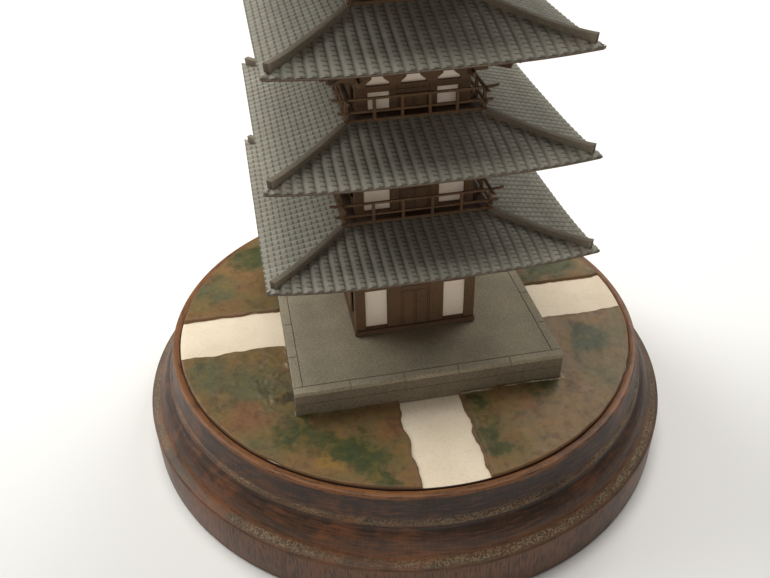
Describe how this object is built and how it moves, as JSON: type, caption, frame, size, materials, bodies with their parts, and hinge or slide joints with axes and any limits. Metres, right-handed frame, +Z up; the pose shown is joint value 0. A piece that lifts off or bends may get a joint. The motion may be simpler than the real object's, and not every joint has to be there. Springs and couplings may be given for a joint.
{
  "type": "card model of a five-storey pagoda on a turned base",
  "caption": "Card model of a tiered pagoda with balconies and a finial, on a podium and a painted ground disc over a turned wooden base; a display piece.",
  "frame": {"origin": "centre of the wooden base's underside", "axes": "+Z up along the tower's axis, -Y towards the front path and front door, +X to the viewer's right"},
  "size_m": [0.1748, 0.1748, 0.2616],
  "materials": {
    "stained_wood": "satin stain and varnish, red-brown with darker coves",
    "cream_card": "matt speckled card",
    "ground_paint": "mottled green, olive and brown gel paint, satin",
    "podium_card": "matt grey-green card with fine engraved lines",
    "wall_card": "matt dark brown card, laser-cut edges browned",
    "white_card": "matt white card",
    "roof_card": "matt grey card with rows of raised tiles",
    "ridge_card": "matt taupe-grey card strips",
    "finial_card": "matt dark bronze-brown"
  },
  "bodies": {
    "root": {"turned_base": "stained_wood", "ground_disc": "cream_card", "ground_patch_back_right": "ground_paint", "ground_patch_back_left": "ground_paint", "ground_patch_front_left": "ground_paint", "ground_patch_front_right": "ground_paint", "podium_body": "podium_card", "podium_top": "podium_card", "wall_sill": "wall_card", "storey_1_wall": "wall_card", "storey_1_core": "white_card", "storey_1_eave_frame": "wall_card", "roof_1": "roof_card", "roof_1_hip_ridges": "ridge_card", "balcony_2": "wall_card", "storey_2_wall": "wall_card", "storey_2_core": "white_card", "storey_2_eave_frame": "wall_card", "roof_2": "roof_card", "roof_2_hip_ridges": "ridge_card", "balcony_3": "wall_card", "storey_3_wall": "wall_card", "storey_3_core": "white_card", "storey_3_eave_frame": "wall_card", "roof_3": "roof_card", "roof_3_hip_ridges": "ridge_card", "balcony_4": "wall_card", "storey_4_wall": "wall_card", "storey_4_core": "white_card", "storey_4_eave_frame": "wall_card", "roof_4": "roof_card", "roof_4_hip_ridges": "ridge_card", "balcony_5": "wall_card", "storey_5_wall": "wall_card", "storey_5_core": "white_card", "storey_5_eave_frame": "wall_card", "roof_5": "roof_card", "roof_5_hip_ridges": "ridge_card", "finial_box": "finial_card", "finial_bowl": "finial_card", "finial_ring_mast": "finial_card", "finial_flame": "finial_card", "finial_jewels": "finial_card"}
  },
  "joints": []
}
